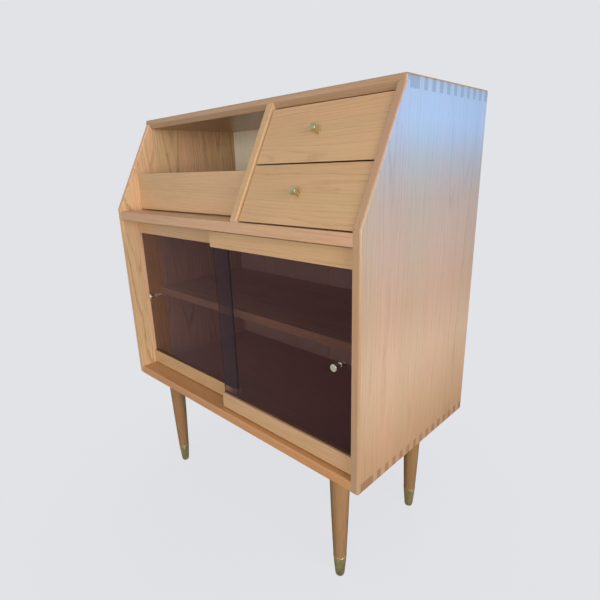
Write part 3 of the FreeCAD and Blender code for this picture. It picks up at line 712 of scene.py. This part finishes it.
shank_inputs = {"Vertices": 24, "Radius": given["Shank radius"], "Depth": given["Length"]}
shank = add(screw_tree, "GeometryNodeMeshCylinder", shank_inputs).outputs["Mesh"]
drop = maths(screw_tree, "MULTIPLY", maths(screw_tree, "ADD", given["Length"], given["Head depth"]), -0.5)
overlap = maths(screw_tree, "MULTIPLY", given["Head depth"], 0.4)
shank = moved(shank, z=maths(screw_tree, "SUBTRACT", drop, overlap))
whole = add(screw_tree, "GeometryNodeJoinGeometry")
for shape in (shank, carved.outputs["Mesh"]):
    put(whole.inputs["Geometry"], shape)
facing = add(
    screw_tree, "GeometryNodeInputNamedAttribute", {"Name": "facing"}, data_type="FLOAT_VECTOR"
)
aiming = {"Vector": facing.outputs[0]}
aim = add(screw_tree, "FunctionNodeAlignRotationToVector", aiming, axis="Z").outputs[0]
half_turn = {3: math.pi, "Seed": given["Seed"]}
chance = add(screw_tree, "FunctionNodeRandomValue", half_turn, data_type="FLOAT").outputs[1]
twist = add(screw_tree, "FunctionNodeAxisAngleToRotation", {"Axis": UPRIGHT, "Angle": chance}).outputs[0]
turned = add(screw_tree, "FunctionNodeRotateRotation", {0: aim, 1: twist}, rotation_space="LOCAL")
seating = {"Points": given["Seats"], "Instance": whole.outputs[0], "Rotation": turned.outputs[0]}
placed = add(screw_tree, "GeometryNodeInstanceOnPoints", seating)
real = add(screw_tree, "GeometryNodeRealizeInstances", {"Geometry": placed.outputs[0]})
coating = {"Geometry": real.outputs[0], "Material": given["Metal"]}
coated = add(screw_tree, "GeometryNodeSetMaterial", coating)
put(made["Screws"], coated.outputs[0])
print("cross_head_screws has", len(screw_tree.nodes), "nodes")

# %% [markdown]
# A CAD node of screws is several loose solids. Walking along the edges of the merged mesh parts
# them, and the middle of the end that faces outwards gives each seat.

# %% Set the screws
def loose_solids(node):
    build = joined_mesh(node)
    left = set(build.verts)
    solids = []
    while left:
        ahead = [left.pop()]
        points = []
        while ahead:
            vertex = ahead.pop()
            points.append(vertex.co.copy())
            near = {edge.other_vert(vertex) for edge in vertex.link_edges} & left
            left -= near
            ahead.extend(near)
        solids.append(points)
    build.free()
    return solids


def set_screws(node, facings, **sizes):
    seats = [(end_of(points, out), out) for points, out in zip(loose_solids(node), facings)]
    mesh = bpy.data.meshes.new(node + "_set")
    mesh.from_pydata([seat for seat, _ in seats], [], [])
    facing = mesh.attributes.new("facing", "FLOAT_VECTOR", "POINT")
    for i, (_, out) in enumerate(seats):
        facing.data[i].vector = out
    piece = bpy.data.objects.new(node + "_set", mesh)
    bpy.context.scene.collection.objects.link(piece)
    rule = piece.modifiers.new("screws", "NODES")
    rule.node_group = screw_tree
    named = {item.name: item.identifier for item in screw_tree.interface.items_tree}
    for label, size in {**sizes, "Metal": steel}.items():
        rule[named[label.replace("_", " ")]] = size
    finished(piece)
    piece.data.set_sharp_from_angle(angle=math.radians(35))
    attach(piece, body_of[node])
    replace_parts(piece, node)
    print(node, "has", len(seats), "screws and", len(piece.data.polygons), "faces")


back = Vector((0, 1, 0))
set_screws("back_screws", [back] * 18, Length=0.0225)
runners_low, runners_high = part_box("drawer_runners")
middle_x = (runners_low.x + runners_high.x) / 2
runner_facings = []
for points in loose_solids("runner_screws"):
    runner_facings.append(Vector((1 if points[0].x < middle_x else -1, 0, 0)))
set_screws("runner_screws", runner_facings, Length=0.0125)
for owner in DOORS + DRAWERS:
    inward = -faces_out(owner)
    points = loose_solids(owner + "_knob_screw")[0]
    length = max(p.dot(inward) for p in points) - min(p.dot(inward) for p in points)
    sizes = {"Face_radius": 0.0034, "Seat_radius": 0.004, "Head_depth": 0.002, "Shank_radius": 0.0016}
    set_screws(owner + "_knob_screw", [inward], Length=length - 0.003, **sizes)

# %% [markdown]
# **Smoked glass.** Clear glass bends light and hides lamps from what is behind it, which leaves a
# cupboard black and full of specks. So the surface is a plain glass shader, except for the rays
# that look for lamps: for those it is a tinted filter. The arrises are ground, and rougher.

# %% The panes
SMOKE, SHADE = (0.47, 0.40, 0.41, 1), (0.49, 0.41, 0.42, 1)
pane_finish, tree, surface = shader(
    "smoked_glass", Base_Color=SMOKE, Transmission_Weight=1.0, IOR=1.3, Metallic=0.0,
    Specular_Tint=(0.62, 0.42, 1.0, 1),
)
smears = grouped(tree, "wiped_smears", Clean=0.0, Smeared=0.03, Size=9.0)["Roughness"]
ground = grouped(tree, "worn_arris", Reach=0.0015, Amount=1.0)["Mask"]
put(surface.inputs["Roughness"], maths(tree, "MULTIPLY_ADD", ground, 0.25, smears))
filter_glass = add(tree, "ShaderNodeBsdfTransparent", {"Color": SHADE})
lamp_ray = add(tree, "ShaderNodeLightPath").outputs["Is Shadow Ray"]
both = add(tree, "ShaderNodeMixShader", {0: lamp_ray, 1: surface.outputs[0], 2: filter_glass.outputs[0]})
put(tree.nodes["Material Output"].inputs["Surface"], both.outputs[0])
for owner in DOORS:
    pane, count = eased(owner + "_glass", pane_finish, 0.0006)
    print(owner, "pane,", count, "arrises ground")

# %% [markdown]
# **Small plain finishes.** The doors' glide pads and guides are white nylon. They, and the pins and
# dowels that hide in the wood, keep the CAD's own shape.

# %% Finish what stays as it is
nylon, tree, surface = shader("nylon", Base_Color=(0.8, 0.79, 0.75, 1), Subsurface_Weight=0.05)
smears = grouped(tree, "wiped_smears", Clean=0.4, Smeared=0.6, Size=200.0)
put(surface.inputs["Roughness"], smears["Roughness"])
peg_wood = oak("peg_wood", (0, 0, 0.8), SIDEWAYS, UPRIGHT, fresh_oak)
plain_finishes = {"steel": steel, "brass": brass, "nylon": nylon, "oak": peg_wood}
replaced = {name for piece in bpy.data.objects for name in piece.get("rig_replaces", [])}
for node, piece in frame["nodes"].items():
    if node not in replaced:
        piece.data.materials.clear()
        piece.data.materials.append(plain_finishes[slot_of[node]])
        print("kept", node, "in", slot_of[node])

# %% [markdown]
# ** Floor and world.** The floor is a wide pale disc that fades into an equally pale world, so no horizon shows. What the camera sees of both is one pale colour. What lights the wood is another: a dim warm bounce from below, and a grey room for the lacquer to mirror. The floor that the lacquer and the brass mirror is a glow with a painted shadow under the case.

# %% Floor and world
FLOOR_DROP = -0.0005
floor_build = bmesh.new()
bmesh.ops.create_circle(floor_build, cap_ends=True, radius=30.0, segments=96)
floor_mesh = bpy.data.meshes.new("floor")
floor_build.to_mesh(floor_mesh)
floor_build.free()
PALE = (0.761, 0.768, 0.799, 1)
SHADOW_UNDER_CASE, OPEN_FLOOR = (0.16, 0.155, 0.135, 1), (0.40, 0.395, 0.37, 1)
WARM_BOUNCE = (0.096, 0.07, 0.049, 1)
ROOM_FILL, ROOM_MIRRORED = (0.175, 0.172, 0.17, 1), (0.48, 0.48, 0.48, 1)
floor_finish, tree, surface = shader("pale_floor", Base_Color=(0.80, 0.805, 0.84, 1), Roughness=0.9)
surface.inputs["Specular IOR Level"].default_value = 0.1
spot = add(tree, "ShaderNodeTexCoord").outputs["Object"]
far = spread(tree, vector_maths(tree, "LENGTH", spot), 0.2, 0.8, 0.9, 1.0)
backdrop = add(tree, "ShaderNodeEmission", {"Color": PALE})
seen = add(tree, "ShaderNodeMixShader", {0: far, 1: surface.outputs[0], 2: backdrop.outputs[0]})
ray = add(tree, "ShaderNodeLightPath").outputs
# Painted shadow: the floor as mirror rays see it glows darker within an oval under the case.
oval = vector_maths(tree, "MULTIPLY", spot, (1.0, 1.7, 0.0))
outside_painted_shadow = spread(tree, vector_maths(tree, "LENGTH", oval), 0.35, 0.75)
mirrored = blend(tree, outside_painted_shadow, SHADOW_UNDER_CASE, OPEN_FLOOR)
bounce = blend(tree, ray["Is Glossy Ray"], WARM_BOUNCE, mirrored)
bounce = add(tree, "ShaderNodeEmission", {"Color": bounce})
rays = {0: ray["Is Camera Ray"], 1: bounce.outputs[0], 2: seen.outputs[0]}
either = add(tree, "ShaderNodeMixShader", rays)
put(tree.nodes["Material Output"].inputs["Surface"], either.outputs[0])
floor_mesh.materials.append(floor_finish)
floor = bpy.data.objects.new("floor", floor_mesh)
bpy.context.scene.collection.objects.link(floor)
floor.location.z = FLOOR_DROP
floor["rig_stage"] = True

world = bpy.data.worlds.new("pale_room")
bpy.context.scene.world = world
world.use_nodes = True
tree = world.node_tree
sky = tree.nodes["Background"]
put(sky.inputs["Color"], PALE)
ray = add(tree, "ShaderNodeLightPath").outputs
room = blend(tree, ray["Is Glossy Ray"], ROOM_FILL, ROOM_MIRRORED)
room = add(tree, "ShaderNodeBackground", {"Color": room})
either = add(tree, "ShaderNodeMixShader", {0: ray["Is Camera Ray"], 1: room.outputs[0], 2: sky.outputs[0]})
put(tree.nodes["World Output"].inputs["Surface"], either.outputs[0])

print("floor and world ready")

# %% [markdown]
# **Lamps.** The broad lamps in front and on the right do most of the work, a high one and a weak one
# on the left fill in, and one stands behind. The front and rear lamps are hidden from mirror
# rays, so the panes and the top show glass and wood and not the shape of a lamp.

# %% Lamps
LAMPLIGHT = (1.0, 0.98, 0.96)


def lamp(name, place, target, size, power):
    data = bpy.data.lights.new(name, "AREA")
    data.shape, data.size, data.size_y = "RECTANGLE", size[0], size[1]
    data.energy, data.color = power, LAMPLIGHT
    light = bpy.data.objects.new(name, data)
    bpy.context.scene.collection.objects.link(light)
    light.location = place
    light.rotation_euler = (Vector(target) - Vector(place)).to_track_quat("-Z", "Y").to_euler()
    light.visible_camera = False
    return light


front_lamp = lamp("front_lamp", (1.2, -2.8, 1.0), (0, 0, 0.5), (2.4, 1.4), 50)
front_lamp.visible_glossy = front_lamp.visible_transmission = False
lamp("high_lamp", (0.3, -2.3, 2.7), (0, 0, 0.7), (2.0, 1.2), 11)
lamp("right_lamp", (3.2, -0.9, 1.1), (0.4, 0, 0.6), (2.0, 1.8), 80)
lamp("left_lamp", (-2.4, -2.4, 1.2), (0, 0, 0.5), (1.5, 1.5), 5)
rear_lamp = lamp("rear_lamp", (-0.8, 3.0, 1.4), (0, 0, 0.5), (2.0, 1.4), 45)
rear_lamp.visible_glossy = False

print(len(bpy.data.lights), "lamps ready")

# %% [markdown]
# **A window to mirror.** Beside the case is a card that only mirror rays see. The lacquer of the side
# mirrors it as a window, warm below and blue above. It ends just above the case, so the top
# doesn't mirror it too.

# %% The mirrored window
CARD_X, CARD_FRONT, CARD_REAR, CARD_TOP = 0.46, -0.165, 0.5, 1.02
card_build = bmesh.new()
outline = ((CARD_FRONT, 0.0), (CARD_REAR, 0.0), (CARD_REAR, CARD_TOP), (CARD_FRONT, CARD_TOP))
corners = [(CARD_X, y, z) for y, z in outline]
card_build.faces.new([card_build.verts.new(corner) for corner in corners])
card_mesh = bpy.data.meshes.new("mirrored_window")
card_build.to_mesh(card_mesh)
card_build.free()
glow = bpy.data.materials.new("window_glow")
glow.use_nodes = True
tree = glow.node_tree
tree.nodes.clear()
spot = add(tree, "ShaderNodeTexCoord").outputs["Object"]
place = add(tree, "ShaderNodeSeparateXYZ", {0: spot}).outputs
ramp = add(tree, "ShaderNodeValToRGB", {"Fac": place["Z"]})
glow_steps = (
    (0.24, (0.12, 0.075, 0.045)),
    (0.35, (0.22, 0.18, 0.14)),
    (0.47, (0.28, 0.265, 0.235)),
    (0.585, (0.20, 0.185, 0.19)),
    (0.69, (0.16, 0.215, 0.27)),
    (0.80, (0.10, 0.225, 0.34)),
    (0.876, (0.02, 0.30, 0.60)),
    (0.937, (0.0, 0.43, 1.0)),
    (1.0, (0.0, 0.43, 1.0)),
)
for step, colour in glow_steps[1:-1]:
    ramp.color_ramp.elements.new(step)
for element, (step, colour) in zip(ramp.color_ramp.elements, glow_steps):
    element.position, element.color = step, (*colour, 1)
strength = spread(tree, place["Y"], -0.1, 0.4, 7.4, 4.2)
light = add(tree, "ShaderNodeEmission", {"Color": ramp.outputs[0], "Strength": strength})
put(add(tree, "ShaderNodeOutputMaterial").inputs["Surface"], light.outputs[0])
card_mesh.materials.append(glow)
card = bpy.data.objects.new("mirrored_window", card_mesh)
bpy.context.scene.collection.objects.link(card)
card.visible_camera = card.visible_diffuse = card.visible_transmission = card.visible_shadow = False
card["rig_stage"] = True
bpy.context.scene.view_settings.view_transform = "Standard"
print("mirrored window ready")

# %% [markdown]
# **Camera.** It stands at the front right corner a little below the top's height, looking down to
# the left, with a slight roll.

# %% Camera
camera_data = bpy.data.cameras.new("camera")
camera_data.sensor_width = 36.0
camera_data.lens = 26.88
camera_data.shift_x = 0.0095
camera_data.shift_y = 0.0105
camera = bpy.data.objects.new("camera", camera_data)
bpy.context.scene.collection.objects.link(camera)
yaw, pitch, roll = (math.radians(angle) for angle in (44.73, 17.181, -1.858))
tipped = Matrix.Rotation(math.pi / 2 - pitch, 3, "X")
aim = Matrix.Rotation(yaw, 3, "Z") @ tipped @ Matrix.Rotation(roll, 3, "Z")
camera.rotation_euler = aim.to_euler()
camera.location = (0.7962, -0.7536, 0.8644)
bpy.context.scene.camera = camera
print("camera at", [round(v, 3) for v in camera.location])

# %% Measure the sizes and finish
now_low, now_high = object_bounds()
sizes = {"cad": [list(cad_low), list(cad_high)], "visual": [list(now_low), list(now_high)]}
print("grown by", [round((b - a) * 1000, 2) for a, b in zip(cad_high, now_high)], "mm")
